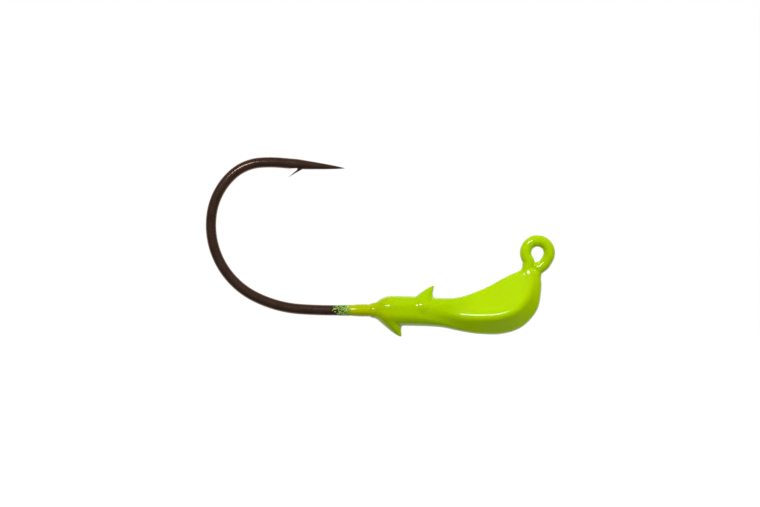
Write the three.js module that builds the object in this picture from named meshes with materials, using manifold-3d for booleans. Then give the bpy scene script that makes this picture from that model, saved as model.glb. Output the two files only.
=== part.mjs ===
// Jig head: a wide-gap fish hook cast into a lead head with a barbed bait keeper,
// the whole head under one coat of gloss powder paint.
//
// Millimetres. +X points to the nose, +Z is up, and the hook lies in the plane y = 0.
// The origin is the middle of the line-tie eye, which the jig hangs from.
import * as THREE from 'three';
import { mergeVertices } from 'three/addons/utils/BufferGeometryUtils.js';
import Module from 'manifold-3d';

const wasm = await Module();
wasm.setup();

// ---- Driving dimensions -------------------------------------------------------------
const WIRE_RADIUS = 0.68;
const PAINT_THICKNESS = 0.1;
const WIRE_PAINT_THICKNESS = 0.09;
const SLEEVE_PAINT_THICKNESS = 0.14;
const FIT_GAP = 0.02;

// The eye: a ring of wire at the top of a neck that leans 60 degrees from the shank.
const EYE_RADIUS = 1.54;
const EYE_FILLET_RADIUS = 1.2;
const EYE_RING_END_ANGLE = -30;
const EYE_CLOSING_LENGTH = 0.6;
const EYE_CURL_RADIUS = 1.3;
const EYE_CURL_TURN = 52;
// A bead of paint runs on from the end of the wire and closes the ring against the neck.
const CLOSING_BEAD_RADIUS = 0.7;
const CLOSING_BEAD_REACH = 0.95;
const NECK_LEAN = 60;
const NECK_SPLIT = 3.0;

// The shank runs level below the eye, from the neck's bend back to the hook's bend.
const SHANK_Z = -7.48;
const SHANK_BEND_RADIUS = 2.5;
const SHANK_REAR_X = -26.06;

// The hook's bend as tangent arcs, [radius, degrees turned], from the shank to the spear.
const BEND_ARCS = [
  [72, 3.7],
  [15.5, 23.1],
  [10.4, 71],
  [8.54, 38.9],
  [6.1, 39],
  [16.5, 9.2],
];

// The spear: a straight run that tapers to a needle point, with one cut barb below it.
const SPEAR_LENGTH = 8.34;
const POINT_LENGTH = 6.2;
const POINT_FULLNESS = 0.73;
const POINT_TIP_RADIUS = 0.03;

// Facets: sides round a wire and round the head, and the step along a curve.
const WIRE_SIDES = 10;
const SLICE_STEPS = 14;
const STATION_STEPS = 3;
const DOME_STEPS = 3;
const TURN_STEP = 5;
const EYE_TURN_STEP = 14;

// ---- The painted head's shape -------------------------------------------------------
// Each station is a slice across the head, from a point on its back to one on its belly.
// Its outline is round at both ends, with these radii, and between them two flanks lean
// outwards by these tilts, in degrees, and meet in a rounded ridge.
const HEAD_STATIONS = [
  { back: [-21.7, -6.62], belly: [-21.7, -8.34], radii: [0.86, 0.86], tilts: [0, 0] },
  { back: [-21.05, -6.43], belly: [-21.05, -8.56], radii: [1.06, 1.06], tilts: [0, 0] },
  { back: [-20.45, -6.02], belly: [-20.45, -8.95], radii: [1.34, 1.34], tilts: [0, 0] },
  { back: [-19.8, -5.7], belly: [-19.8, -9.3], radii: [1.55, 1.55], tilts: [0, 0] },
  { back: [-18.8, -5.57], belly: [-18.8, -9.5], radii: [1.65, 1.65], tilts: [0, 0] },
  { back: [-15.9, -5.64], belly: [-15.9, -9.53], radii: [1.6, 1.6], tilts: [3, 3] },
  { back: [-12.6, -5.84], belly: [-12.6, -9.69], radii: [1.5, 1.3], tilts: [10, 19] },
  { back: [-10.4, -5.77], belly: [-10.2, -10.17], radii: [1.3, 1], tilts: [20, 35] },
  { back: [-8.5, -5.23], belly: [-7.7, -10.55], radii: [1.05, 0.9], tilts: [25, 40] },
  { back: [-6.4, -4.35], belly: [-4.6, -10.55], radii: [0.9, 0.85], tilts: [25, 43] },
  { back: [-4.7, -3.42], belly: [-1.9, -9.59], radii: [0.78, 0.85], tilts: [24, 43] },
  { back: [-3.4, -2.77], belly: [0, -7.4], radii: [0.73, 0.9], tilts: [23, 36] },
  { back: [-2.6, -2.42], belly: [0.53, -4.8], radii: [0.73, 0.9], tilts: [22, 26] },
  { back: [-2.1, -2.2], belly: [0.49, -3.2], radii: [0.76, 0.88], tilts: [17, 14] },
];

// How far the ridge's rounding reaches to each side of it.
const RIDGE_REACH = 0.54;

// Each keeper fin is a cone that curls towards the nose: [x, z, radius] from root to tip.
const UPPER_FIN = [
  [-15.1, -7.1, 1.6],
  [-14.72, -6.3, 1.2],
  [-14.32, -5.5, 0.76],
  [-13.96, -4.88, 0.42],
  [-13.56, -4.4, 0.15],
];
const LOWER_FIN = [
  [-19.3, -7.9, 1.6],
  [-18.86, -8.75, 1.24],
  [-18.46, -9.6, 0.82],
  [-18.16, -10.22, 0.48],
  [-17.78, -10.76, 0.16],
];
const FIN_SIDES = 12;

// The painted sleeve carries the coat from the keeper on to the bare shank.
const SLEEVE_REAR_X = -25;
const LEAD_REAR_X = -20.7;

// ---- The barb -----------------------------------------------------------------------
const BARB_ROOT = { x: -30.5, z: 11.1, halfThickness: 0.22, halfWidth: 0.44 };
const BARB_TIP = { x: -32.3, z: 9.86, halfThickness: 0.03, halfWidth: 0.06 };
const BARB_SIDES = 10;
// The floor of the barb's cut: a shallow notch in the spear, deepest at the barb's root.
const NOTCH_FRONT = [-31.1, 10.98];
const NOTCH_REAR = [-33.0, 10.7];

// ---- Small tools --------------------------------------------------------------------
const radians = THREE.MathUtils.degToRad;

/** A closed mesh through rings of points that all have the same count, flat at both ends. */
function loft(rings) {
  const count = rings[0].length;
  const positions = [];
  const indices = [];
  for (const ring of rings) {
    for (const point of ring) positions.push(point.x, point.y, point.z);
  }
  for (let i = 0; i < rings.length - 1; i++) {
    for (let j = 0; j < count; j++) {
      const a = i * count + j;
      const b = i * count + ((j + 1) % count);
      indices.push(a, b, b + count, a, b + count, a + count);
    }
  }
  const capEnd = (ring, first, facesForward) => {
    const centre = new THREE.Vector3();
    for (const point of ring) centre.addScaledVector(point, 1 / count);
    const hub = positions.length / 3;
    positions.push(centre.x, centre.y, centre.z);
    for (let j = 0; j < count; j++) {
      const a = first + j;
      const b = first + ((j + 1) % count);
      indices.push(hub, ...(facesForward ? [a, b] : [b, a]));
    }
  };
  capEnd(rings[0], 0, false);
  capEnd(rings[rings.length - 1], (rings.length - 1) * count, true);
  const geometry = new THREE.BufferGeometry();
  geometry.setAttribute('position', new THREE.Float32BufferAttribute(positions, 3));
  geometry.setIndex(indices);
  return geometry;
}

/** A solid that can be joined and cut. */
function toSolid(geometry) {
  const bare = geometry.clone();
  bare.deleteAttribute('normal');
  bare.deleteAttribute('uv');
  const merged = mergeVertices(bare, 1e-5);
  return new wasm.Manifold(new wasm.Mesh({
    numProp: 3,
    vertProperties: new Float32Array(merged.attributes.position.array),
    triVerts: new Uint32Array(merged.index.array),
  }));
}

/** A three.js geometry with the faces of a solid. */
function toGeometry(solid) {
  const mesh = solid.getMesh();
  const geometry = new THREE.BufferGeometry();
  geometry.setAttribute('position', new THREE.BufferAttribute(mesh.vertProperties, 3));
  geometry.setIndex(new THREE.BufferAttribute(mesh.triVerts, 1));
  geometry.computeVertexNormals();
  return geometry;
}

/**
 * A path in the plane y = 0, drawn as a pen moves: each move is a straight length or an
 * arc, where a positive turn is to the left. Returns places with a heading in degrees.
 */
function drawPath(start, heading, moves, turnStep) {
  const places = [{ x: start[0], z: start[1], heading }];
  for (const move of moves) {
    const from = places[places.length - 1];
    if (move.length !== undefined) {
      places.push({
        x: from.x + move.length * Math.cos(radians(from.heading)),
        z: from.z + move.length * Math.sin(radians(from.heading)),
        heading: from.heading,
      });
      continue;
    }
    const side = Math.sign(move.turn);
    const centreX = from.x - side * move.radius * Math.sin(radians(from.heading));
    const centreZ = from.z + side * move.radius * Math.cos(radians(from.heading));
    const steps = Math.ceil(Math.abs(move.turn) / turnStep);
    for (let i = 1; i <= steps; i++) {
      const now = from.heading + (move.turn * i) / steps;
      places.push({
        x: centreX + side * move.radius * Math.sin(radians(now)),
        z: centreZ - side * move.radius * Math.cos(radians(now)),
        heading: now,
      });
    }
  }
  return places;
}

/** A ring of points round a place on a path, across its heading. */
function ringAt(place, halfHeight, halfWidth, sides) {
  const upX = -Math.sin(radians(place.heading));
  const upZ = Math.cos(radians(place.heading));
  const ring = [];
  for (let j = 0; j < sides; j++) {
    const angle = (2 * Math.PI * (j + 0.5)) / sides;
    const up = halfHeight * Math.sin(angle);
    ring.push(new THREE.Vector3(place.x + up * upX, halfWidth * Math.cos(angle), place.z + up * upZ));
  }
  return ring;
}

/** A round rod of one radius along a path. */
function rod(places, radius) {
  return loft(places.map((place) => ringAt(place, radius, radius, WIRE_SIDES)));
}

/** Places along a path carried straight on past its end. */
function extended(places, length) {
  const last = places[places.length - 1];
  return [...places, ...drawPath([last.x, last.z], last.heading, [{ length }], 1).slice(1)];
}

// ---- The hook's wire ----------------------------------------------------------------
/** A place on the neck's centre line, this far down from the middle of the eye. */
function neckPoint(down) {
  return [-down * Math.cos(radians(NECK_LEAN)), -down * Math.sin(radians(NECK_LEAN))];
}

/** The neck's top, the ring, and the end of the ring as it closes on the neck. */
function eyePath() {
  const filletDown = Math.sqrt((EYE_RADIUS + EYE_FILLET_RADIUS) ** 2 - EYE_FILLET_RADIUS ** 2);
  const filletTurn = THREE.MathUtils.radToDeg(Math.atan2(filletDown, EYE_FILLET_RADIUS));
  const ringStartAngle = NECK_LEAN + filletTurn + 90;
  return drawPath(neckPoint(NECK_SPLIT), NECK_LEAN, [
    { length: NECK_SPLIT - filletDown },
    { radius: EYE_FILLET_RADIUS, turn: filletTurn },
    { radius: EYE_RADIUS, turn: EYE_RING_END_ANGLE - ringStartAngle },
    { length: EYE_CLOSING_LENGTH },
    { radius: EYE_CURL_RADIUS, turn: -EYE_CURL_TURN },
  ], EYE_TURN_STEP);
}

/** Down the neck, round its bend inside the head, and back along the shank. */
function shankPath() {
  const cornerDown = -SHANK_Z / Math.sin(radians(NECK_LEAN));
  const bendReach = SHANK_BEND_RADIUS * Math.tan(radians(NECK_LEAN / 2));
  const cornerX = neckPoint(cornerDown)[0];
  return drawPath(neckPoint(NECK_SPLIT + FIT_GAP), NECK_LEAN - 180, [
    { length: cornerDown - bendReach - NECK_SPLIT - FIT_GAP },
    { radius: SHANK_BEND_RADIUS, turn: -NECK_LEAN },
    { length: cornerX - bendReach - SHANK_REAR_X },
  ], 2 * TURN_STEP);
}

/** Round the hook's bend from the shank to the spear. */
function bendPath() {
  const arcs = BEND_ARCS.map(([radius, degrees]) => ({ radius, turn: -degrees }));
  return drawPath([SHANK_REAR_X - FIT_GAP, SHANK_Z], 180, arcs, TURN_STEP);
}

/** The tapered spear with its barb and the notch that the barb was lifted from. */
function spearSolid() {
  const bendEnd = bendPath().at(-1);
  const placeAlong = (length) => drawPath([bendEnd.x, bendEnd.z], bendEnd.heading, [{ length }], 1).at(-1);
  const radiusBeforeTip = (distance) => Math.max(
    POINT_TIP_RADIUS,
    WIRE_RADIUS * Math.min(1, distance / POINT_LENGTH) ** POINT_FULLNESS,
  );
  const distances = [SPEAR_LENGTH - FIT_GAP, POINT_LENGTH, 4.4, 3.2, 2.1, 1.2, 0.5, 0];
  const spear = toSolid(loft(distances.map((distance) => {
    const radius = radiusBeforeTip(distance);
    return ringAt(placeAlong(SPEAR_LENGTH - distance), radius, radius, WIRE_SIDES);
  })));
  return spear.subtract(notchSolid()).add(barbSolid());
}

function notchSolid() {
  const outline = new THREE.Shape([
    new THREE.Vector2(NOTCH_FRONT[0], NOTCH_FRONT[1]),
    new THREE.Vector2(NOTCH_REAR[0], NOTCH_REAR[1] + 0.15),
    new THREE.Vector2(NOTCH_REAR[0], NOTCH_REAR[1] - 0.6),
    new THREE.Vector2(NOTCH_FRONT[0], NOTCH_REAR[1] - 0.6),
  ]);
  const geometry = new THREE.ExtrudeGeometry(outline, { depth: 4 * WIRE_RADIUS, bevelEnabled: false });
  geometry.translate(0, 0, -2 * WIRE_RADIUS);
  geometry.rotateX(Math.PI / 2);
  return toSolid(geometry);
}

function barbSolid() {
  const heading = THREE.MathUtils.radToDeg(Math.atan2(BARB_TIP.z - BARB_ROOT.z, BARB_TIP.x - BARB_ROOT.x));
  return toSolid(loft([BARB_ROOT, BARB_TIP].map((end) => (
    ringAt({ x: end.x, z: end.z, heading }, end.halfThickness, end.halfWidth, BARB_SIDES)
  ))));
}

// ---- The head -----------------------------------------------------------------------
/** A smooth run of values through the stations. */
function stationCurve(pick) {
  const points = HEAD_STATIONS.map((station) => new THREE.Vector3(...pick(station)));
  return new THREE.CatmullRomCurve3(points, false, 'catmullrom', 0.5);
}

const backCurve = stationCurve(({ back }) => [back[0], 0, back[1]]);
const bellyCurve = stationCurve(({ belly }) => [belly[0], 0, belly[1]]);
const radiusCurve = stationCurve(({ radii }) => [...radii, 0]);
const tiltCurve = stationCurve(({ tilts }) => [...tilts, 0]);

/** One slice of the painted head. */
function headSlice(t) {
  const back = backCurve.getPoint(t);
  const down = bellyCurve.getPoint(t).sub(back);
  const length = down.length();
  down.normalize();
  const [backRadius, bellyRadius] = radiusCurve.getPoint(t).toArray();
  const [backTilt, bellyTilt] = tiltCurve.getPoint(t).toArray();
  return { back, down, length, backRadius, bellyRadius, backTilt, bellyTilt };
}

/** Half the width that one flank allows, this far in from its own edge of the slice. */
function flankWidth(inset, radius, tilt, depth) {
  const inner = radius - depth;
  const beyond = inset - radius;
  const sine = Math.sin(radians(tilt));
  if (beyond < -inner * sine) return Math.sqrt(Math.max(0, inner ** 2 - beyond ** 2));
  return (inner + beyond * sine) / Math.cos(radians(tilt));
}

/** Half the width of a slice, this far down it from the back. */
function sliceWidth(slice, reach, depth) {
  const upper = flankWidth(reach, slice.backRadius, slice.backTilt, depth);
  const lower = flankWidth(slice.length - reach, slice.bellyRadius, slice.bellyTilt, depth);
  const slopes = Math.tan(radians(slice.backTilt)) + Math.tan(radians(slice.bellyTilt));
  const softness = Math.max(RIDGE_REACH * slopes, 1e-6);
  const share = THREE.MathUtils.clamp(0.5 + (0.5 * (lower - upper)) / softness, 0, 1);
  return lower + (upper - lower) * share - softness * share * (1 - share);
}

/**
 * The outline of a slice, shrunk by a depth below the painted surface. The dome angle
 * rounds the end of the head off: at 90 degrees the slice has shrunk to a line.
 */
function sliceRing(slice, depth, domeAngle = 0) {
  const { back, down, length } = slice;
  const dome = slice.backRadius - depth;
  const shrink = dome * (1 - Math.cos(radians(domeAngle)));
  const push = dome * Math.sin(radians(domeAngle));
  const half = [];
  for (let i = 0; i <= SLICE_STEPS; i++) {
    const share = (1 - Math.cos((Math.PI * i) / SLICE_STEPS)) / 2;
    const width = sliceWidth(slice, depth + (length - 2 * depth) * share, depth);
    const reach = depth + shrink + (length - 2 * depth - 2 * shrink) * share;
    half.push(new THREE.Vector3(
      back.x + reach * down.x - push * down.z,
      -width * Math.cos(radians(domeAngle)),
      back.z + reach * down.z + push * down.x,
    ));
  }
  const otherHalf = half.slice(1, -1).reverse().map((point) => new THREE.Vector3(point.x, -point.y, point.z));
  return [...half, ...otherHalf];
}

/** How far along the stations the keeper barrel reaches this x. */
function stationAt(x) {
  let low = 0;
  let high = 0.5;
  while (high - low > 1e-6) {
    const middle = (low + high) / 2;
    if (backCurve.getPoint(middle).x < x) low = middle;
    else high = middle;
  }
  return low;
}

/** The keeper barrel and the head, from the rear end given to the domed nose. */
function headSolid(depth, rearX) {
  const steps = (HEAD_STATIONS.length - 1) * STATION_STEPS;
  const rear = stationAt(rearX);
  const along = [rear];
  for (let i = 0; i <= steps; i++) {
    if (i / steps > rear + 0.1 / steps) along.push(i / steps);
  }
  const rings = along.map((t) => sliceRing(headSlice(t), depth));
  for (let i = 1; i < DOME_STEPS; i++) {
    rings.push(sliceRing(headSlice(1), depth, (90 * i) / DOME_STEPS));
  }
  return toSolid(loft(rings));
}

/** A curled cone along a fin's spine, with a small blunt tip that shrinks with the depth. */
function finSolid(spine, depth) {
  const rings = spine.map(([x, z, radius], i) => {
    const before = spine[Math.max(0, i - 1)];
    const after = spine[Math.min(spine.length - 1, i + 1)];
    const heading = THREE.MathUtils.radToDeg(Math.atan2(after[1] - before[1], after[0] - before[0]));
    const retreat = i === spine.length - 1 ? depth : 0;
    const place = drawPath([x, z], heading, [{ length: -retreat }], 1).at(-1);
    return ringAt(place, radius - depth, radius - depth, FIN_SIDES);
  });
  return toSolid(loft(rings));
}

/** The head and its two fins, shrunk by a depth below the painted surface. */
function castingSolid(depth, rearX) {
  return headSolid(depth, rearX).add(finSolid(UPPER_FIN, depth)).add(finSolid(LOWER_FIN, depth));
}

/** All of the wire inside the paint, thickened, and run out of the sleeve's rear end. */
function wireSolid(growth) {
  const shankForward = shankPath().reverse().map((place) => ({ ...place, heading: place.heading + 180 }));
  return toSolid(rod([...shankForward, ...eyePath().slice(1)], WIRE_RADIUS + growth));
}

function leadSolid() {
  return castingSolid(PAINT_THICKNESS, LEAD_REAR_X).subtract(wireSolid(FIT_GAP));
}

function paintSolid() {
  const sleeve = rod(drawPath([SLEEVE_REAR_X, SHANK_Z], 0, [{ length: 5 }], 1), WIRE_RADIUS + SLEEVE_PAINT_THICKNESS);
  const ring = rod(extended(eyePath(), WIRE_PAINT_THICKNESS), WIRE_RADIUS + WIRE_PAINT_THICKNESS);
  const wireEnd = eyePath().at(-1);
  const beadPath = drawPath([wireEnd.x, wireEnd.z], wireEnd.heading, [{ length: CLOSING_BEAD_REACH }], 1);
  const outside = castingSolid(0, HEAD_STATIONS[0].back[0])
    .add(toSolid(sleeve))
    .add(toSolid(ring))
    .add(toSolid(rod(beadPath, CLOSING_BEAD_RADIUS)));
  const inside = castingSolid(PAINT_THICKNESS - FIT_GAP, LEAD_REAR_X - FIT_GAP).add(wireSolid(FIT_GAP));
  return outside.subtract(inside);
}

// ---- The scene graph ----------------------------------------------------------------
const bronzedSteel = new THREE.MeshStandardMaterial({ color: 0x38291f, roughness: 0.28, metalness: 0.9 });
const castLead = new THREE.MeshStandardMaterial({ color: 0x7d8084, roughness: 0.6, metalness: 0.8 });
const glossPaint = new THREE.MeshStandardMaterial({ color: 0xb4e000, roughness: 0.12, metalness: 0 });

const jigHead = new THREE.Group();

function addPart(name, geometry, material) {
  geometry.computeVertexNormals();
  const mesh = new THREE.Mesh(geometry, material);
  mesh.name = name;
  jigHead.add(mesh);
}

addPart('hook_eye', rod(eyePath(), WIRE_RADIUS), bronzedSteel);
addPart('hook_shank', rod(shankPath(), WIRE_RADIUS), bronzedSteel);
addPart('hook_bend', rod(bendPath(), WIRE_RADIUS), bronzedSteel);
addPart('hook_point', toGeometry(spearSolid()), bronzedSteel);
addPart('lead_head', toGeometry(leadSolid()), castLead);
addPart('paint_coat', toGeometry(paintSolid()), glossPaint);

export default jigHead;
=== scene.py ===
import math

import bmesh
import bpy
import numpy as np
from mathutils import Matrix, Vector


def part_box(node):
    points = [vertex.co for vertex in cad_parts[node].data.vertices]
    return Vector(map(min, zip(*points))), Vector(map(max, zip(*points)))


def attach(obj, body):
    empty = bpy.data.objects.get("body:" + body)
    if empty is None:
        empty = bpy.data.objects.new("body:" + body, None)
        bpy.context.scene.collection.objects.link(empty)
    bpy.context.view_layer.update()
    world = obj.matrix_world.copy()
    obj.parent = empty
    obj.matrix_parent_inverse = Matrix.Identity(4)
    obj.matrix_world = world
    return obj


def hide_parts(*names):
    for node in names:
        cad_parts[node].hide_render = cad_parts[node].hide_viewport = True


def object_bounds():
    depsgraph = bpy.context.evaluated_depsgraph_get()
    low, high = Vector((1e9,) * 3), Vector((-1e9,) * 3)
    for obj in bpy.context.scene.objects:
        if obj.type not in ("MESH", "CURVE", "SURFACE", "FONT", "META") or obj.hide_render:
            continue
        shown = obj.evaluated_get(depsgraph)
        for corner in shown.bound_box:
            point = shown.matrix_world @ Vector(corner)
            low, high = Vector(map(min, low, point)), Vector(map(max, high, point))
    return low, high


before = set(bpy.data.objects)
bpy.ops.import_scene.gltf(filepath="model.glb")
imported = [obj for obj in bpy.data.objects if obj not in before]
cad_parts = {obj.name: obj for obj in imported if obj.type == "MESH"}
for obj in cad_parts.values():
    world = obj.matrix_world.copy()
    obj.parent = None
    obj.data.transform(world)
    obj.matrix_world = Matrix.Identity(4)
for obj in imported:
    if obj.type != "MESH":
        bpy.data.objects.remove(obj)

CAD_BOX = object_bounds()

# Shapes are worked out in millimetres in the row frame, and made in metres.
MM = 0.001

# ---- Sizes, as in the part unless a comment says so ---------------------------------
WIRE_RADIUS = 0.68
WIRE_PAINT = 0.09
SLEEVE_PAINT = 0.14
SLEEVE_EDGE = 0.03
SLEEVE_RISE = 1.7
PAINT_THICKNESS = 0.1
BOND_GAP = 0.012

NECK_LEAN = 60
EYE_RADIUS = 1.54
EYE_FILLET_RADIUS = 1.2
EYE_RING_END_ANGLE = -30
EYE_CLOSING_LENGTH = 0.6
EYE_CURL_RADIUS = 1.3
EYE_CURL_TURN = 52
# Paint that fills the angles of the neck, a bit fuller than in the part, as balls (x, z,
# radius): where the ring closes on the neck in front, and down the neck's rear side.
CLOSING_BEAD = [(0.78, -1.55, 0.75), (0.3, -2.0, 0.75), (-0.12, -2.4, 0.72)]
NECK_GUSSET = [(-1.16, -1.05, 0.72), (-1.24, -1.7, 0.75), (-1.3, -2.3, 0.8)]

SHANK_Z = -7.48
NECK_START = 2.0
SHANK_BEND_RADIUS = 2.5
SHANK_REAR_X = -26.06
BEND_ARCS = [(72, 3.7), (15.5, 23.1), (10.4, 71), (8.54, 38.9), (6.1, 39), (16.5, 9.2)]
SPEAR_LENGTH = 8.34
POINT_LENGTH = 6.2
POINT_FULLNESS = 0.73
POINT_TIP_RADIUS = 0.02

# The painted head: (back x, back z, belly x, belly z, back radius, belly radius, back
# tilt, belly tilt). A slice is round at both ends, and its flanks lean out by the tilts.
# The last slice leans out 7 degrees more than in the part, for a small crest at the neck.
HEAD_STATIONS = [
    (-21.7, -6.62, -21.7, -8.34, 0.86, 0.86, 0, 0),
    (-21.05, -6.43, -21.05, -8.56, 1.06, 1.06, 0, 0),
    (-20.45, -6.02, -20.45, -8.95, 1.34, 1.34, 0, 0),
    (-19.8, -5.7, -19.8, -9.3, 1.55, 1.55, 0, 0),
    (-18.8, -5.57, -18.8, -9.5, 1.65, 1.65, 0, 0),
    (-15.9, -5.64, -15.9, -9.53, 1.6, 1.6, 3, 3),
    (-12.6, -5.84, -12.6, -9.69, 1.5, 1.3, 10, 19),
    (-10.4, -5.77, -10.2, -10.17, 1.3, 1.0, 20, 35),
    (-8.5, -5.23, -7.7, -10.55, 1.05, 0.9, 25, 40),
    (-6.4, -4.35, -4.6, -10.55, 0.9, 0.85, 25, 43),
    (-4.7, -3.42, -1.9, -9.59, 0.78, 0.85, 24, 43),
    (-3.4, -2.77, 0.0, -7.4, 0.73, 0.9, 23, 36),
    (-2.6, -2.42, 0.53, -4.8, 0.73, 0.9, 22, 26),
    (-2.1, -2.2, 0.49, -3.2, 0.76, 0.88, 24, 14),
]
RIDGE_REACH = 0.54
LEAD_REAR_X = -20.7

# The keeper's fins: curled cones, (x, z, radius) from root to tip. The upper one's root
# swells a little out of the barrel.
UPPER_FIN = [
    (-14.95, -7.15, 1.7),
    (-14.72, -6.3, 1.2),
    (-14.32, -5.5, 0.76),
    (-13.96, -4.88, 0.42),
    (-13.56, -4.4, 0.15),
]
LOWER_FIN = [
    (-19.3, -7.9, 1.6),
    (-18.86, -8.75, 1.24),
    (-18.46, -9.6, 0.82),
    (-18.16, -10.22, 0.48),
    (-17.78, -10.76, 0.16),
]

# The barb: (x, z, half thickness, half width) from inside the spear to its tip.
BARB = [
    (-30.57, 11.05, 0.22, 0.46),
    (-31.06, 10.71, 0.155, 0.38),
    (-31.48, 10.43, 0.105, 0.26),
    (-31.89, 10.14, 0.055, 0.14),
    (-32.3, 9.86, 0.015, 0.03),
]
# The floor of the barb's cut, from its deep end to where it runs out of the wire.
CUT_FLOOR = [(-31.15, 10.98), (-33.3, 10.86)]

# How far the cutter of the barb reaches below its floor, behind its deep end and sideways.
CUT_DROP = 1.0
CUT_REAR = 0.6
CUT_HALF_WIDTH = 1.0

# How softly the coat fills the angles between its shapes, in square millimetres.
FIN_FILLET = 0.3
SLEEVE_FILLET = 0.7
GUSSET_FILLET = 0.12
NECK_FILLET = 0.2

# ---- Fineness -----------------------------------------------------------------------
WIRE_SIDES = 40
BARB_SIDES = 24
ROUTE_STEP = 0.2
FIELD_CELL = 0.04
SURFACE_CELL = 0.08
LINING_CELL = 0.13
HEAD_SLICES = 131
CONE_BALLS = 120
SLICE_MARGIN = 1.2
BALL_MARGIN = 0.6
COAT_MARGIN = 1.0
SURFACE_BLUR = 2.0
LINING_BLUR = 1.0
SETTLING_ROUNDS = 4
FLATTEST_SLOPE = 1e-3

# Edges sharper than these, in degrees, stay crisp.
HOOK_CREASE = 38
COAT_CREASE = 60
GRAIN_CREASE = 80


# ---- Curves -------------------------------------------------------------------------
def draw_route(start, heading, moves, step=ROUTE_STEP):
    """Places (x, z, heading) along straights and arcs; a positive turn is to the left."""
    places = [(start[0], start[1], heading)]
    for kind, size, turn in moves:
        x, z, now = places[-1]
        if kind == "line":
            count = max(1, math.ceil(abs(size) / step))
            for i in range(1, count + 1):
                reach = size * i / count
                places.append((
                    x + reach * math.cos(math.radians(now)),
                    z + reach * math.sin(math.radians(now)),
                    now,
                ))
            continue
        side = math.copysign(1, turn)
        centre_x = x - side * size * math.sin(math.radians(now))
        centre_z = z + side * size * math.cos(math.radians(now))
        count = max(2, math.ceil(size * math.radians(abs(turn)) / step))
        for i in range(1, count + 1):
            then = now + turn * i / count
            places.append((
                centre_x + side * size * math.sin(math.radians(then)),
                centre_z - side * size * math.cos(math.radians(then)),
                then,
            ))
    return places


def neck_point(down):
    """A point on the neck's centre line, this far down from the middle of the eye."""
    return (-down * math.cos(math.radians(NECK_LEAN)), -down * math.sin(math.radians(NECK_LEAN)))


def eye_moves():
    """From the neck's fillet, round the ring, to the wire's end against the neck."""
    fillet_down = math.sqrt((EYE_RADIUS + EYE_FILLET_RADIUS) ** 2 - EYE_FILLET_RADIUS**2)
    fillet_turn = math.degrees(math.atan2(fillet_down, EYE_FILLET_RADIUS))
    ring_start = NECK_LEAN + fillet_turn + 90
    moves = [
        ("arc", EYE_FILLET_RADIUS, fillet_turn),
        ("arc", EYE_RADIUS, EYE_RING_END_ANGLE - ring_start),
        ("line", EYE_CLOSING_LENGTH, 0),
        ("arc", EYE_CURL_RADIUS, -EYE_CURL_TURN),
    ]
    return fillet_down, moves


def reversed_route(places):
    return [(x, z, heading + 180) for x, z, heading in reversed(places)]


def shank_route():
    """From the shank's rear end forward, round the bend in the head, and up the neck."""
    fillet_down, _ = eye_moves()
    corner_down = -SHANK_Z / math.sin(math.radians(NECK_LEAN))
    reach = SHANK_BEND_RADIUS * math.tan(math.radians(NECK_LEAN / 2))
    corner_x = neck_point(corner_down)[0]
    return draw_route((SHANK_REAR_X, SHANK_Z), 0, [
        ("line", corner_x - reach - SHANK_REAR_X, 0),
        ("arc", SHANK_BEND_RADIUS, NECK_LEAN),
        ("line", corner_down - reach - fillet_down, 0),
    ])


def eye_route():
    fillet_down, moves = eye_moves()
    return draw_route(neck_point(fillet_down), NECK_LEAN, moves, step=ROUTE_STEP / 2)


def hook_route():
    """The hook's whole centre line, from the spear's point to the end of the ring."""
    arcs = [("arc", radius, -degrees) for radius, degrees in BEND_ARCS]
    bend = draw_route((SHANK_REAR_X, SHANK_Z), 180, arcs)
    end_x, end_z, heading = bend[-1]
    spear = draw_route((end_x, end_z), heading, [("line", SPEAR_LENGTH, 0)], step=ROUTE_STEP / 2)
    back_end = reversed_route(bend + spear[1:])
    return back_end + shank_route()[1:] + eye_route()[1:]


# ---- Mesh tools ---------------------------------------------------------------------
def link_mesh(name, points_mm, faces):
    """A new mesh object from points in millimetres."""
    mesh = bpy.data.meshes.new(name)
    mesh.from_pydata([tuple(p) for p in np.asarray(points_mm) * MM], [], faces)
    mesh.validate()
    piece = bpy.data.objects.new(name, mesh)
    bpy.context.scene.collection.objects.link(piece)
    return piece


def sweep(places, half_heights, half_widths, sides):
    """Points and faces of a rod with oval sections along a route, closed at both ends."""
    angles = (np.arange(sides) + 0.5) * 2 * math.pi / sides
    rings = []
    for (x, z, heading), tall, wide in zip(places, half_heights, half_widths):
        up = tall * np.sin(angles)
        side = wide * np.cos(angles)
        tilt = math.radians(heading)
        rings.append(np.stack([x - up * math.sin(tilt), side, z + up * math.cos(tilt)], axis=1))
    points = np.concatenate(rings)
    faces = []
    for i in range(len(rings) - 1):
        for j in range(sides):
            a = i * sides + j
            b = i * sides + (j + 1) % sides
            faces.append((a, b, b + sides, a + sides))
    faces.append(tuple(reversed(range(sides))))
    faces.append(tuple(range((len(rings) - 1) * sides, len(rings) * sides)))
    return points, faces


def cut_or_join(piece, other, operation):
    """Joins other into piece, or cuts it out of piece, and removes other."""
    modifier = piece.modifiers.new("boolean", "BOOLEAN")
    modifier.operation = operation
    modifier.object = other
    modifier.solver = "MANIFOLD"
    apply_modifiers(piece)
    bpy.data.objects.remove(other)


def apply_modifiers(piece):
    graph = bpy.context.evaluated_depsgraph_get()
    made = bpy.data.meshes.new_from_object(piece.evaluated_get(graph))
    piece.modifiers.clear()
    old = piece.data
    piece.data = made
    bpy.data.meshes.remove(old)
    made.name = piece.name


def shade(piece, sharp_degrees):
    """Smooth shading, except across edges sharper than this."""
    mesh = piece.data
    mesh.shade_smooth()
    mesh.set_sharp_from_angle(angle=math.radians(sharp_degrees))


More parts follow.
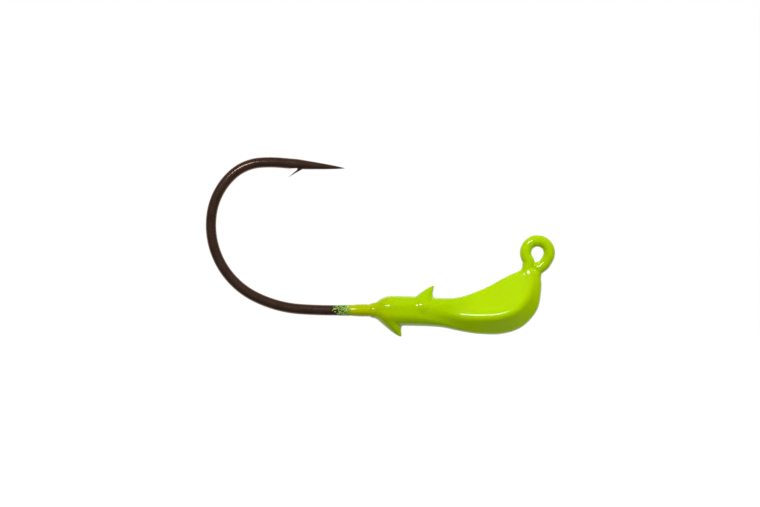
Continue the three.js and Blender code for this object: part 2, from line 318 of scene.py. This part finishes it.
# ---- The hook -----------------------------------------------------------------------
def hook_radius(distance_from_tip):
    taper = min(1.0, distance_from_tip / POINT_LENGTH) ** POINT_FULLNESS
    return max(POINT_TIP_RADIUS, WIRE_RADIUS * taper)


def build_hook():
    """The wire from point to ring as one piece, with its barb cut and raised."""
    places = hook_route()
    travelled = 0.0
    radii = []
    for i, (x, z, _) in enumerate(places):
        if i > 0:
            travelled += math.hypot(x - places[i - 1][0], z - places[i - 1][1])
        radii.append(hook_radius(travelled))
    hook = link_mesh("hook", *sweep(places, radii, radii, WIRE_SIDES))
    cut_or_join(hook, build_barb_cut(), "DIFFERENCE")
    cut_or_join(hook, build_barb(), "UNION")
    shade(hook, HOOK_CREASE)
    return hook


def build_barb():
    """A thin raised sliver, flat on its inner side and sharp at its tip."""
    heading = math.degrees(math.atan2(BARB[-1][1] - BARB[0][1], BARB[-1][0] - BARB[0][0]))
    places = [(x, z, heading) for x, z, _, _ in BARB]
    talls = [tall for _, _, tall, _ in BARB]
    wides = [wide for _, _, _, wide in BARB]
    return link_mesh("barb", *sweep(places, talls, wides, BARB_SIDES))


def build_barb_cut():
    """A wedge whose top face is the floor of the cut under the spear."""
    (deep_x, deep_z), (out_x, out_z) = CUT_FLOOR
    outline = [
        (deep_x, deep_z),
        (out_x, out_z),
        (out_x, out_z - CUT_DROP),
        (deep_x - CUT_REAR, deep_z - CUT_DROP),
    ]
    points = [(x, y, z) for y in (-CUT_HALF_WIDTH, CUT_HALF_WIDTH) for x, z in outline]
    faces = [(0, 1, 2, 3), (7, 6, 5, 4), (0, 4, 5, 1), (1, 5, 6, 2), (2, 6, 7, 3), (3, 7, 4, 0)]
    cutter = link_mesh("barb_cut", points, faces)
    face_outwards(cutter)
    return cutter


def face_outwards(piece):
    work = bmesh.new()
    work.from_mesh(piece.data)
    bmesh.ops.recalc_face_normals(work, faces=work.faces)
    work.to_mesh(piece.data)
    work.free()


# ---- The paint coat -----------------------------------------------------------------
# Both sides of the plane y = 0 are alike, so the whole surface is y * y = field(x, z), where
# the field is the squared half width of the paint at that place and negative outside it. The
# head is a run of slices and everything else a run of balls, and where two runs meet their
# fields are joined softly, which makes fillets.
OUTSIDE = -1.5


class Field:
    """The squared half width of a shape on a grid of cells over the plane y = 0."""

    def __init__(self, low, high):
        self.low = low
        self.xs = np.arange(low[0], high[0], FIELD_CELL)
        self.zs = np.arange(low[1], high[1], FIELD_CELL)
        self.values = np.full((len(self.xs), len(self.zs)), OUTSIDE)

    def add_ball(self, x, z, radius):
        if radius <= 0:
            return
        reach = radius + BALL_MARGIN
        i0, i1 = np.searchsorted(self.xs, (x - reach, x + reach))
        j0, j1 = np.searchsorted(self.zs, (z - reach, z + reach))
        dx = (self.xs[i0:i1] - x) ** 2
        dz = (self.zs[j0:j1] - z) ** 2
        ball = radius**2 - dx[:, None] - dz[None, :]
        np.maximum(self.values[i0:i1, j0:j1], ball, out=self.values[i0:i1, j0:j1])


def smoothed(values, cells):
    """The values blurred by a bell curve this many cells wide."""
    reach = math.ceil(3 * cells)
    bell = np.exp(-0.5 * (np.arange(-reach, reach + 1) / cells) ** 2)
    bell /= bell.sum()
    for axis in (0, 1):
        values = np.apply_along_axis(lambda line: np.convolve(line, bell, "same"), axis, values)
    return values


def soft_join(a, b, softness):
    """The larger of two fields, with a fillet where they are nearly equal."""
    share = np.clip(0.5 + 0.5 * (b - a) / softness, 0, 1)
    return a + (b - a) * share + softness * share * (1 - share)


def through(points, count):
    """Rows of values on a smooth curve through the points, evenly spread between them."""
    rows = np.array(points, float)
    padded = np.vstack([2 * rows[0] - rows[1], rows, 2 * rows[-1] - rows[-2]])
    made = []
    for t in np.linspace(0, len(rows) - 1, count):
        i = min(int(t), len(rows) - 2)
        f = t - i
        p0, p1, p2, p3 = padded[i : i + 4]
        made.append(
            p1
            + 0.5 * f * (p2 - p0)
            + f**2 * (p0 - 2.5 * p1 + 2 * p2 - 0.5 * p3)
            + f**3 * (1.5 * (p1 - p2) + 0.5 * (p3 - p0))
        )
    return made


def head_field(low, high, depth):
    """The head as a run of slices, each filling the plane through its back and its belly."""
    field = Field(low, high)
    grid_x, grid_z = np.meshgrid(field.xs, field.zs, indexing="ij")
    stations = through(HEAD_STATIONS, HEAD_SLICES)
    for rear, front in zip(stations, stations[1:]):
        ends = (rear[0], rear[2], front[0], front[2])
        i0, i1 = np.searchsorted(field.xs, (min(ends) - SLICE_MARGIN, max(ends) + SLICE_MARGIN))
        window_x, window_z = grid_x[i0:i1], grid_z[i0:i1]
        rear_ahead, rear_reach = slice_frame(rear, window_x, window_z)
        front_ahead, front_reach = slice_frame(front, window_x, window_z)
        rear_value = slice_value(rear_reach, rear, depth)
        front_value = slice_value(front_reach, front, depth)
        between = (rear_ahead >= 0) & (front_ahead < 0)
        share = rear_ahead / np.where(between, rear_ahead - front_ahead, 1)
        mixed = rear_value + (front_value - rear_value) * share
        kept = field.values[i0:i1]
        kept[between] = np.maximum(kept[between], mixed[between])
    add_dome(field, *slice_frame(stations[-1], grid_x, grid_z), stations[-1], depth)
    return field.values


def slice_frame(station, grid_x, grid_z):
    """How far points lie ahead of a slice, and how far down it from its back."""
    back = station[0:2]
    down = (station[2:4] - back) / np.linalg.norm(station[2:4] - back)
    ahead = (grid_z - back[1]) * down[0] - (grid_x - back[0]) * down[1]
    reach = (grid_x - back[0]) * down[0] + (grid_z - back[1]) * down[1]
    return ahead, reach


def slice_value(reach, station, depth):
    """The squared half width of a slice, at a distance down it from the back."""
    back_r, belly_r, back_tilt, belly_tilt = station[4:]
    length = np.linalg.norm(station[2:4] - station[0:2])
    upper = flank_value(reach, back_r, back_tilt, depth)
    lower = flank_value(length - reach, belly_r, belly_tilt, depth)
    slopes = math.tan(math.radians(back_tilt)) + math.tan(math.radians(belly_tilt))
    softness = max(RIDGE_REACH * slopes, 1e-6)
    least = np.minimum(upper, lower)
    width = -soft_join(-np.sqrt(np.maximum(upper, 0)), -np.sqrt(np.maximum(lower, 0)), softness)
    return np.where(least > 0, width**2, least)


def flank_value(inset, radius, tilt, depth):
    """The squared half width that one flank allows, this far in from its own edge."""
    inner = radius - depth
    beyond = inset - radius
    sine = math.sin(math.radians(tilt))
    flat = (inner + beyond * sine) / math.cos(math.radians(tilt))
    return np.where(beyond < -inner * sine, inner**2 - beyond**2, flat**2)


def add_dome(field, ahead, reach, station, depth):
    """The last slice carried on and drawn in, which rounds the head's end off at the neck."""
    length = np.linalg.norm(station[2:4] - station[0:2])
    dome = station[4] - depth
    level = np.sqrt(np.clip(1 - (ahead / dome) ** 2, 0, 1))
    shrink = dome * (1 - level)
    share = (reach - depth - shrink) / (length - 2 * depth - 2 * shrink)
    value = slice_value(depth + share * (length - 2 * depth), station, depth)
    value = np.where(value > 0, value * level**2, value)
    within = (ahead >= 0) & (ahead < dome)
    field.values = np.where(within, np.maximum(field.values, value), field.values)


def cone_field(low, high, spine, depth):
    """A curled cone, as balls along its spine."""
    field = Field(low, high)
    for x, z, radius in through(spine, CONE_BALLS):
        field.add_ball(x, z, radius - depth)
    return field.values


def rod_field(low, high, places, radius):
    """A round rod, as balls along its places."""
    field = Field(low, high)
    for x, z, _ in places:
        field.add_ball(x, z, radius)
    return field.values


def sleeve_field(low, high, rear_x):
    """The coat on the bare shank: it thickens slowly from a thin edge into the keeper."""
    field = Field(low, high)
    front_x = HEAD_STATIONS[1][0]
    for x in np.arange(rear_x, front_x, FIELD_CELL):
        rise = min(1.0, (x - rear_x) / SLEEVE_RISE)
        lift = SLEEVE_EDGE + (SLEEVE_PAINT - SLEEVE_EDGE) * math.sin(rise * math.pi / 2)
        field.add_ball(x + WIRE_RADIUS, SHANK_Z, WIRE_RADIUS + lift)
    return field.values


def fine_route(route_maker, step):
    """A route redrawn with closer places, by filling in between its own."""
    places = route_maker()
    made = []
    for (ax, az, ah), (bx, bz, bh) in zip(places, places[1:]):
        count = max(1, math.ceil(math.hypot(bx - ax, bz - az) / step))
        for i in range(count):
            share = i / count
            made.append((ax + (bx - ax) * share, az + (bz - az) * share, ah + (bh - ah) * share))
    made.append(places[-1])
    return made


def coat_extent():
    """The corners of the field's grid, a margin outside the coat."""
    low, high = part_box("paint_coat")
    return (
        (low.x / MM - COAT_MARGIN, low.z / MM - COAT_MARGIN),
        (high.x / MM + COAT_MARGIN, high.z / MM + COAT_MARGIN),
    )


def outer_field():
    """The painted surface."""
    low, high = coat_extent()
    rear_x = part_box("paint_coat")[0].x / MM
    ring_places = fine_route(eye_route, FIELD_CELL)
    neck_places = [p for p in fine_route(shank_route, FIELD_CELL) if p[1] > SHANK_Z + NECK_START]
    casting = head_field(low, high, 0)
    for fin in (UPPER_FIN, LOWER_FIN):
        casting = soft_join(casting, cone_field(low, high, fin, 0), FIN_FILLET)
    casting = soft_join(casting, sleeve_field(low, high, rear_x), SLEEVE_FILLET)
    ring = rod_field(low, high, neck_places + ring_places, WIRE_RADIUS + WIRE_PAINT)
    for fill in (CLOSING_BEAD, NECK_GUSSET):
        ring = soft_join(ring, cone_field(low, high, fill, 0), GUSSET_FILLET)
    return smoothed(soft_join(casting, ring, NECK_FILLET), SURFACE_BLUR)


def lining_field():
    """The inside of the coat, where it is bonded to the lead and to the wire."""
    low, high = coat_extent()
    lead_depth = PAINT_THICKNESS - BOND_GAP
    casting = head_field(low, high, lead_depth)
    for fin in (UPPER_FIN, LOWER_FIN):
        casting = np.maximum(casting, cone_field(low, high, fin, lead_depth))
    rear_edge = np.arange(low[0], high[0], FIELD_CELL) < LEAD_REAR_X
    casting[rear_edge, :] = OUTSIDE
    wire = rod_field(
        low, high, fine_route(shank_route, FIELD_CELL) + fine_route(eye_route, FIELD_CELL),
        WIRE_RADIUS + BOND_GAP,
    )
    return smoothed(np.maximum(casting, wire), LINING_BLUR)


def sample(values, low, x, z):
    """The field between its cells' corners."""
    u = np.clip((x - low[0]) / FIELD_CELL, 0, values.shape[0] - 1.001)
    v = np.clip((z - low[1]) / FIELD_CELL, 0, values.shape[1] - 1.001)
    i = u.astype(int)
    j = v.astype(int)
    fu = u - i
    fv = v - j
    near = values[i, j] * (1 - fv) + values[i, j + 1] * fv
    far = values[i + 1, j] * (1 - fv) + values[i + 1, j + 1] * fv
    return near * (1 - fu) + far * fu


def skin(values, low, cell):
    """Points and quads of the closed surface y * y = field, by surface nets."""
    width = math.sqrt(values.max()) + 2 * cell
    half_count = math.ceil(width / cell)
    xs = np.arange(low[0], low[0] + values.shape[0] * FIELD_CELL - cell, cell)
    zs = np.arange(low[1], low[1] + values.shape[1] * FIELD_CELL - cell, cell)
    ys = (np.arange(-half_count, half_count) + 0.5) * cell
    grid_x, grid_z = np.meshgrid(xs, zs, indexing="ij")
    flat = sample(values, low, grid_x, grid_z)
    solid = ys[None, :, None] ** 2 - flat[:, None, :]
    points, quads = surface_net(solid)
    points = np.stack([
        xs[0] + points[:, 0] * cell,
        ys[0] + points[:, 1] * cell,
        zs[0] + points[:, 2] * cell,
    ], axis=1)
    return settle(points, values, low), quads


def surface_net(solid):
    """One point in each cell that the surface crosses, and a quad round each crossed edge."""
    inside = solid < 0
    shape = tuple(n - 1 for n in solid.shape)
    total = np.zeros(shape + (3,))
    crossings = np.zeros(shape, int)
    corners = [(i, j, k) for i in (0, 1) for j in (0, 1) for k in (0, 1)]

    def corner(array, offset):
        i, j, k = offset
        return array[i : i + shape[0], j : j + shape[1], k : k + shape[2]]

    for a in corners:
        for axis in range(3):
            if a[axis] == 1:
                continue
            b = tuple(1 if n == axis else a[n] for n in range(3))
            value_a = corner(solid, a)
            value_b = corner(solid, b)
            crossed = corner(inside, a) != corner(inside, b)
            share = np.where(crossed, value_a / np.where(crossed, value_a - value_b, 1), 0)
            for n in range(3):
                place = share if n == axis else float(a[n])
                total[..., n] += np.where(crossed, place, 0)
            crossings += crossed
    active = crossings > 0
    index = np.full(shape, -1)
    index[active] = np.arange(active.sum())
    cells = np.argwhere(active)
    points = cells + total[active] / crossings[active][:, None]
    quads = []
    for axis in range(3):
        b_axis, c_axis = (axis + 1) % 3, (axis + 2) % 3
        first = np.take(inside, range(solid.shape[axis] - 1), axis=axis)
        second = np.take(inside, range(1, solid.shape[axis]), axis=axis)
        edges = np.argwhere(first != second)
        going_out = first[tuple(edges.T)]
        step_b = np.eye(3, dtype=int)[b_axis]
        step_c = np.eye(3, dtype=int)[c_axis]
        ring = [edges - step_b - step_c, edges - step_c, edges, edges - step_b]
        ids = np.stack([index[tuple(r.T)] for r in ring], axis=1)
        ids[~going_out] = ids[~going_out][:, ::-1]
        quads.append(ids)
    return points, np.concatenate(quads)


def settle(points, values, low):
    """The points moved along the field's slope until they lie on the surface."""
    slope_x, slope_z = np.gradient(values, FIELD_CELL)
    for _ in range(SETTLING_ROUNDS):
        x, y, z = points.T
        miss = y**2 - sample(values, low, x, z)
        slope = np.stack([-sample(slope_x, low, x, z), 2 * y, -sample(slope_z, low, x, z)], axis=1)
        steepness = np.maximum((slope**2).sum(axis=1), FLATTEST_SLOPE)
        points = points - slope * (miss / steepness)[:, None]
    return points


def build_coat():
    """The paint's outer skin, as one closed body that the lead and the wire lie inside.

    The lining is meant to be cut out of it, to leave a thin shell, but the cut isn't made. The
    lining's wire crosses the grid's rear edge, which leaves the lining open there, so Blender
    prints a warning and keeps the skin whole. With COAT_MARGIN at 2.0 the cut is made.
    """
    low, _ = coat_extent()
    coat = link_mesh("paint_coat_gloss", *as_lists(skin(outer_field(), low, SURFACE_CELL)))
    lining = link_mesh("paint_lining", *as_lists(skin(lining_field(), low, LINING_CELL)))
    cut_or_join(coat, lining, "DIFFERENCE")
    shade(coat, COAT_CREASE)
    return coat


def as_lists(made):
    points, quads = made
    return points, quads.tolist()


# ---- The powder specks at the sleeve's rear edge ------------------------------------
SPECK_SEED = 7
SLEEVE_FILM = 0.5

# Loose grains: how far back they reach on the mean, how much further on one side, and how
# strongly they crowd towards the sleeve.
SPECK_COUNT = 520
SPECK_BAND = 1.75
SPECK_BAND_SPREAD = 0.45
SPECK_CROWDING = 1.25
SPECK_SIZE = (0.045, 0.12)
SPECK_FLATNESS = (0.3, 0.6)

# Grains in the sleeve's edge.
EDGE_GRAIN_COUNT = 110
EDGE_GRAIN_BAND = (-0.2, 0.5)
EDGE_GRAIN_SIZE = (0.1, 0.17)
EDGE_GRAIN_FLATNESS = 0.3

# A grain: its rings as (share of its size, share of its height), its outline and its seat.
GRAIN_SIDES = 8
GRAIN_RINGS = [(1.0, -0.25), (0.95, 0.25), (0.62, 0.8)]
GRAIN_STRETCH = (0.75, 1.35)
GRAIN_WOBBLE = (0.8, 1.15)
GRAIN_SEAT = 0.01


def sleeve_edge():
    """Where the even sleeve begins, a little in front of the coat's thin first film."""
    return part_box("paint_coat")[0].x / MM + SLEEVE_FILM


def build_specks():
    """Melted grains of powder on the shank, crowded at the sleeve and few further back."""
    random = np.random.default_rng(SPECK_SEED)
    points = []
    faces = []
    for _ in range(SPECK_COUNT):
        angle = random.uniform(0, 2 * math.pi)
        band = SPECK_BAND + SPECK_BAND_SPREAD * math.cos(2 * angle + 0.5)
        back = band * random.random() ** SPECK_CROWDING
        size = random.uniform(*SPECK_SIZE) * (1.1 - 0.35 * back / band)
        height = size * random.uniform(*SPECK_FLATNESS)
        add_speck(points, faces, sleeve_edge() - back, angle, size, height, random)
    specks = link_mesh("powder_specks", points, faces)
    shade(specks, GRAIN_CREASE)
    return specks


def build_edge_grains():
    """Larger grains that run together into the sleeve's ragged rear edge."""
    random = np.random.default_rng(SPECK_SEED + 1)
    points = []
    faces = []
    for _ in range(EDGE_GRAIN_COUNT):
        angle = random.uniform(0, 2 * math.pi)
        back = random.uniform(*EDGE_GRAIN_BAND)
        size = random.uniform(*EDGE_GRAIN_SIZE)
        height = size * EDGE_GRAIN_FLATNESS
        add_speck(points, faces, sleeve_edge() - back, angle, size, height, random)
    grains = link_mesh("sleeve_edge_grains", points, faces)
    shade(grains, GRAIN_CREASE)
    return grains


def add_speck(points, faces, x, angle, size, height, random):
    """A low uneven dome of paint that stands on the wire."""
    out = np.array([0, math.cos(angle), math.sin(angle)])
    round_wire = np.array([0, -math.sin(angle), math.cos(angle)])
    along = np.array([1.0, 0, 0])
    middle = np.array([x, 0, SHANK_Z]) + out * (WIRE_RADIUS - GRAIN_SEAT)
    stretch = random.uniform(*GRAIN_STRETCH)
    start = len(points)
    wobble = random.uniform(*GRAIN_WOBBLE, GRAIN_SIDES)
    for share, lift in GRAIN_RINGS:
        for i in range(GRAIN_SIDES):
            turn = 2 * math.pi * i / GRAIN_SIDES
            reach = size * share * wobble[i]
            offset = along * math.cos(turn) * reach * stretch
            offset = offset + round_wire * math.sin(turn) * reach / stretch
            points.append(middle + offset + out * height * lift)
    points.append(middle + out * height)
    top = start + len(GRAIN_RINGS) * GRAIN_SIDES
    for level in range(len(GRAIN_RINGS) - 1):
        for i in range(GRAIN_SIDES):
            a = start + level * GRAIN_SIDES + i
            b = start + level * GRAIN_SIDES + (i + 1) % GRAIN_SIDES
            faces.append((a, b, b + GRAIN_SIDES, a + GRAIN_SIDES))
    last = start + (len(GRAIN_RINGS) - 1) * GRAIN_SIDES
    for i in range(GRAIN_SIDES):
        faces.append((last + i, last + (i + 1) % GRAIN_SIDES, top))
    faces.append(tuple(start + i for i in reversed(range(GRAIN_SIDES))))


# ---- Materials ----------------------------------------------------------------------
PAINT_ON_WIRE = (0.52, 0.63, 0.0)
PAINT_ON_BARREL = (0.475, 0.755, 0.0)
# The head's paint is brighter than the barrel's: painted light, standing in for the stronger light
# on the head's flat cheek.
PAINT_ON_HEAD_WITH_PAINTED_LIGHT = (0.56, 0.87, 0.0)
PAINT_ON_RING = (0.5, 0.77, 0.0)


def new_material(name):
    material = bpy.data.materials.new(name)
    material.use_nodes = True
    shader = material.node_tree.nodes["Principled BSDF"]
    return material, material.node_tree.nodes, material.node_tree.links, shader


def noise(nodes, links, scale, detail, roughness=0.5, stretch=(1, 1, 1)):
    """A noise in the object's own space, in metres; stretch scales its axes."""
    place = nodes.new("ShaderNodeTexCoord")
    mapping = nodes.new("ShaderNodeMapping")
    mapping.inputs["Scale"].default_value = stretch
    texture = nodes.new("ShaderNodeTexNoise")
    texture.inputs["Scale"].default_value = scale
    texture.inputs["Detail"].default_value = detail
    texture.inputs["Roughness"].default_value = roughness
    links.new(place.outputs["Object"], mapping.inputs["Vector"])
    links.new(mapping.outputs["Vector"], texture.inputs["Vector"])
    return texture.outputs["Fac"]


def ramp(nodes, links, source, stops):
    """Colours along a value, as (position, colour) stops."""
    node = nodes.new("ShaderNodeValToRGB")
    elements = node.color_ramp.elements
    while len(elements) < len(stops):
        elements.new(0.5)
    for element, (position, colour) in zip(elements, stops):
        element.position = position
        element.color = (*colour, 1)
    links.new(source, node.inputs["Fac"])
    return node.outputs["Color"]


def span(nodes, links, source, low, high):
    """A value moved from 0..1 to low..high."""
    node = nodes.new("ShaderNodeMapRange")
    node.inputs["To Min"].default_value = low
    node.inputs["To Max"].default_value = high
    links.new(source, node.inputs["Value"])
    return node.outputs["Result"]


def bump(nodes, links, shader, source, strength, distance_mm):
    node = nodes.new("ShaderNodeBump")
    node.inputs["Strength"].default_value = strength
    node.inputs["Distance"].default_value = distance_mm * MM
    links.new(source, node.inputs["Height"])
    links.new(node.outputs["Normal"], shader.inputs["Normal"])


def along_part(nodes, links, drift):
    """A value that runs 0 to 1 along the coat from its rear edge to the ring, a bit uneven."""
    low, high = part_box("paint_coat")
    place = nodes.new("ShaderNodeTexCoord")
    split = nodes.new("ShaderNodeSeparateXYZ")
    links.new(place.outputs["Object"], split.inputs["Vector"])
    run = nodes.new("ShaderNodeMapRange")
    run.inputs["From Min"].default_value = low.x
    run.inputs["From Max"].default_value = high.x
    links.new(split.outputs["X"], run.inputs["Value"])
    uneven = nodes.new("ShaderNodeMath")
    uneven.operation = "ADD"
    links.new(run.outputs["Result"], uneven.inputs[0])
    links.new(span(nodes, links, drift, -0.06, 0.06), uneven.inputs[1])
    return uneven.outputs["Value"]


def paint_material():
    """Gloss chartreuse powder paint, yellower where thin, brighter on the head as painted light;
    faint orange peel.
    """
    material, nodes, links, shader = new_material("powder_paint")
    drift = noise(nodes, links, 260, 3)
    colour = ramp(nodes, links, along_part(nodes, links, drift), [
        (0.1, PAINT_ON_WIRE),
        (0.24, PAINT_ON_BARREL),
        (0.5, PAINT_ON_BARREL),
        (0.64, PAINT_ON_HEAD_WITH_PAINTED_LIGHT),
        (0.84, PAINT_ON_HEAD_WITH_PAINTED_LIGHT),
        (0.92, PAINT_ON_RING),
    ])
    links.new(colour, shader.inputs["Base Color"])
    cloud = noise(nodes, links, 900, 2)
    links.new(span(nodes, links, cloud, 0.04, 0.09), shader.inputs["Roughness"])
    shader.inputs["IOR"].default_value = 1.5
    peel = noise(nodes, links, 700, 2, 0.4)
    bump(nodes, links, shader, peel, 0.06, 0.02)
    return material


def speck_material():
    """Grains of the same powder, some paler and some greener."""
    material, nodes, links, shader = new_material("powder_grains")
    mottle = noise(nodes, links, 5200, 2, 0.6)
    colour = ramp(nodes, links, mottle, [
        (0.32, (0.16, 0.34, 0.03)),
        (0.5, (0.36, 0.62, 0.06)),
        (0.68, (0.66, 0.86, 0.42)),
    ])
    links.new(colour, shader.inputs["Base Color"])
    links.new(span(nodes, links, mottle, 0.2, 0.4), shader.inputs["Roughness"])
    return material


def edge_grain_material():
    """The thin green edge of the coat, mottled where grains have run together."""
    material, nodes, links, shader = new_material("powder_edge")
    mottle = noise(nodes, links, 3800, 2, 0.6)
    colour = ramp(nodes, links, mottle, [
        (0.35, (0.13, 0.3, 0.0)),
        (0.6, (0.3, 0.52, 0.01)),
        (0.75, (0.45, 0.68, 0.08)),
    ])
    links.new(colour, shader.inputs["Base Color"])
    links.new(span(nodes, links, mottle, 0.12, 0.3), shader.inputs["Roughness"])
    return material


def hook_material():
    """Dark bronze finish on polished wire, with faint drawing marks and warmer patches."""
    material, nodes, links, shader = new_material("bronzed_steel")
    shader.inputs["Metallic"].default_value = 0.5
    shader.inputs["Specular Tint"].default_value = (0.9, 0.72, 0.55, 1)
    patches = noise(nodes, links, 600, 4, 0.6)
    colour = ramp(nodes, links, patches, [
        (0.3, (0.085, 0.047, 0.033)),
        (0.7, (0.122, 0.071, 0.052)),
    ])
    links.new(colour, shader.inputs["Base Color"])
    marks = noise(nodes, links, 1800, 3, 0.55)
    links.new(span(nodes, links, marks, 0.14, 0.22), shader.inputs["Roughness"])
    bump(nodes, links, shader, marks, 0.04, 0.01)
    return material


def lead_material():
    """Dull grey cast lead with a fine chill grain and oxide bloom."""
    material, nodes, links, shader = new_material("cast_lead_grey")
    shader.inputs["Metallic"].default_value = 1.0
    bloom = noise(nodes, links, 500, 5, 0.6)
    colour = ramp(nodes, links, bloom, [(0.3, (0.2, 0.205, 0.215)), (0.7, (0.42, 0.43, 0.44))])
    links.new(colour, shader.inputs["Base Color"])
    links.new(span(nodes, links, bloom, 0.45, 0.7), shader.inputs["Roughness"])
    grain = noise(nodes, links, 2600, 4, 0.6)
    bump(nodes, links, shader, grain, 0.4, 0.03)
    return material


def dress(piece, material):
    piece.data.materials.clear()
    piece.data.materials.append(material)


# ---- The stage ----------------------------------------------------------------------
# The room as shading sees it and as gloss does: how strong its light is in front and behind,
# between which depths it rises, and how far that edge leans forward below.
SHADING_ROOM = {"front": 0.17, "behind": 0.95, "edge": (0.0, 0.6), "lean": 0.2}
GLOSS_ROOM = {"front": 0.015, "behind": 1.75, "edge": (0.0, 0.65), "lean": 0.18}

LIGHT_DISTANCE = 1.0
OBJECT_SHARE_OF_PICTURE = 0.46
CAMERA_LENS = 200
CAMERA_BELOW = 0.038
CAMERA_ASIDE = 0.0012
SENSOR_WIDTH = 36
FLOOR_DROP = 0.06
FLOOR_SIZE = 6.0


def object_middle():
    low, high = CAD_BOX
    return (low + high) / 2


def add_camera():
    """Square on to the hook's plane, a little below the object's middle, with a long lens."""
    low, high = CAD_BOX
    width = (high.x - low.x) / OBJECT_SHARE_OF_PICTURE
    data = bpy.data.cameras.new("camera")
    data.lens = CAMERA_LENS
    data.sensor_width = SENSOR_WIDTH
    data.clip_start = 0.01
    data.clip_end = 20
    camera = bpy.data.objects.new("camera", data)
    middle = object_middle()
    below = CAMERA_BELOW * (high.z - low.z)
    distance = width * CAMERA_LENS / SENSOR_WIDTH
    aside = CAMERA_ASIDE * (high.x - low.x)
    camera.location = (middle.x - aside, middle.y - distance, middle.z - below)
    camera.rotation_euler = (math.radians(90), 0, 0)
    bpy.context.scene.collection.objects.link(camera)
    bpy.context.scene.camera = camera


def add_light(name, direction, size, power, colour=(1, 1, 1), in_gloss=True):
    """A soft rectangular light a metre off that faces the object from this direction."""
    data = bpy.data.lights.new(name, "AREA")
    data.shape = "RECTANGLE"
    data.size = size[0]
    data.size_y = size[1]
    data.energy = power
    data.color = colour
    light = bpy.data.objects.new(name, data)
    aim = Vector(direction).normalized()
    light.location = object_middle() + aim * LIGHT_DISTANCE
    light.rotation_euler = aim.to_track_quat("Z", "Y").to_euler()
    light.visible_glossy = in_gloss
    bpy.context.scene.collection.objects.link(light)


def add_world():
    """A dim room with a pale sweep behind the object, which the camera sees as white."""
    world = bpy.data.worlds.new("studio")
    bpy.context.scene.world = world
    world.use_nodes = True
    nodes = world.node_tree.nodes
    links = world.node_tree.links
    nodes.clear()
    rays = nodes.new("ShaderNodeLightPath")
    lit = nodes.new("ShaderNodeMixShader")
    links.new(rays.outputs["Is Glossy Ray"], lit.inputs["Fac"])
    links.new(room(nodes, links, **SHADING_ROOM), lit.inputs[1])
    links.new(room(nodes, links, **GLOSS_ROOM), lit.inputs[2])
    seen = nodes.new("ShaderNodeBackground")
    seen.inputs["Color"].default_value = (1, 1, 1, 1)
    mix = nodes.new("ShaderNodeMixShader")
    links.new(rays.outputs["Is Camera Ray"], mix.inputs["Fac"])
    links.new(lit.outputs["Shader"], mix.inputs[1])
    links.new(seen.outputs["Background"], mix.inputs[2])
    output = nodes.new("ShaderNodeOutputWorld")
    links.new(mix.outputs["Shader"], output.inputs["Surface"])


def room(nodes, links, front, behind, edge, lean):
    """A background with light this strong in front and behind."""
    place = nodes.new("ShaderNodeTexCoord")
    split = nodes.new("ShaderNodeSeparateXYZ")
    links.new(place.outputs["Generated"], split.inputs["Vector"])
    tilt = nodes.new("ShaderNodeMath")
    tilt.operation = "MULTIPLY_ADD"
    tilt.inputs[1].default_value = -lean
    links.new(split.outputs["Z"], tilt.inputs[0])
    links.new(split.outputs["Y"], tilt.inputs[2])
    depth = nodes.new("ShaderNodeMapRange")
    depth.interpolation_type = "SMOOTHSTEP"
    depth.inputs["From Min"].default_value = edge[0]
    depth.inputs["From Max"].default_value = edge[1]
    depth.inputs["To Min"].default_value = front
    depth.inputs["To Max"].default_value = behind
    links.new(tilt.outputs["Value"], depth.inputs["Value"])
    background = nodes.new("ShaderNodeBackground")
    links.new(depth.outputs["Result"], background.inputs["Strength"])
    return background.outputs["Background"]


def add_floor():
    """A plain pale floor well below the object."""
    low, _ = CAD_BOX
    half = FLOOR_SIZE / 2 / MM
    level = (low.z - FLOOR_DROP) / MM
    corners = [(x * half, y * half, level) for x, y in ((-1, -1), (1, -1), (1, 1), (-1, 1))]
    floor = link_mesh("floor", corners, [(0, 1, 2, 3)])
    material, nodes, links, shader = new_material("pale_floor")
    shader.inputs["Base Color"].default_value = (0.85, 0.85, 0.85, 1)
    shader.inputs["Roughness"].default_value = 0.9
    shader.inputs["Emission Color"].default_value = (1, 1, 1, 1)
    shader.inputs["Emission Strength"].default_value = 0.9
    dress(floor, material)
    floor.visible_diffuse = False
    floor.visible_glossy = False


def set_view():
    scene = bpy.context.scene
    scene.view_settings.view_transform = "Standard"
    scene.view_settings.look = "None"


# ---- Making the scene ---------------------------------------------------------------
add_camera()
add_world()
add_light("key", (-0.275, -0.84, 0.467), (0.28, 0.14), 2.9)
add_light("softbox", (-0.25, -0.74, 0.62), (0.7, 0.5), 2.6, in_gloss=False)
add_light("fill", (0.6, -0.62, 0.5), (0.7, 0.5), 3.4, in_gloss=False)
add_light("bounce", (0.1, 0.5, -0.86), (0.8, 0.6), 4.4, in_gloss=False)
add_light("overhead", (-0.15, -0.3, 0.94), (0.9, 0.5), 1.2, colour=(1, 0.85, 0.6), in_gloss=False)
add_floor()
set_view()

hook = build_hook()
dress(hook, hook_material())
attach(hook, "root")
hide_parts("hook_eye", "hook_shank", "hook_bend", "hook_point")

coat = build_coat()
dress(coat, paint_material())
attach(coat, "root")
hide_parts("paint_coat")

specks = build_specks()
dress(specks, speck_material())
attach(specks, "root")

edge_grains = build_edge_grains()
dress(edge_grains, edge_grain_material())
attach(edge_grains, "root")

dress(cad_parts["lead_head"], lead_material())
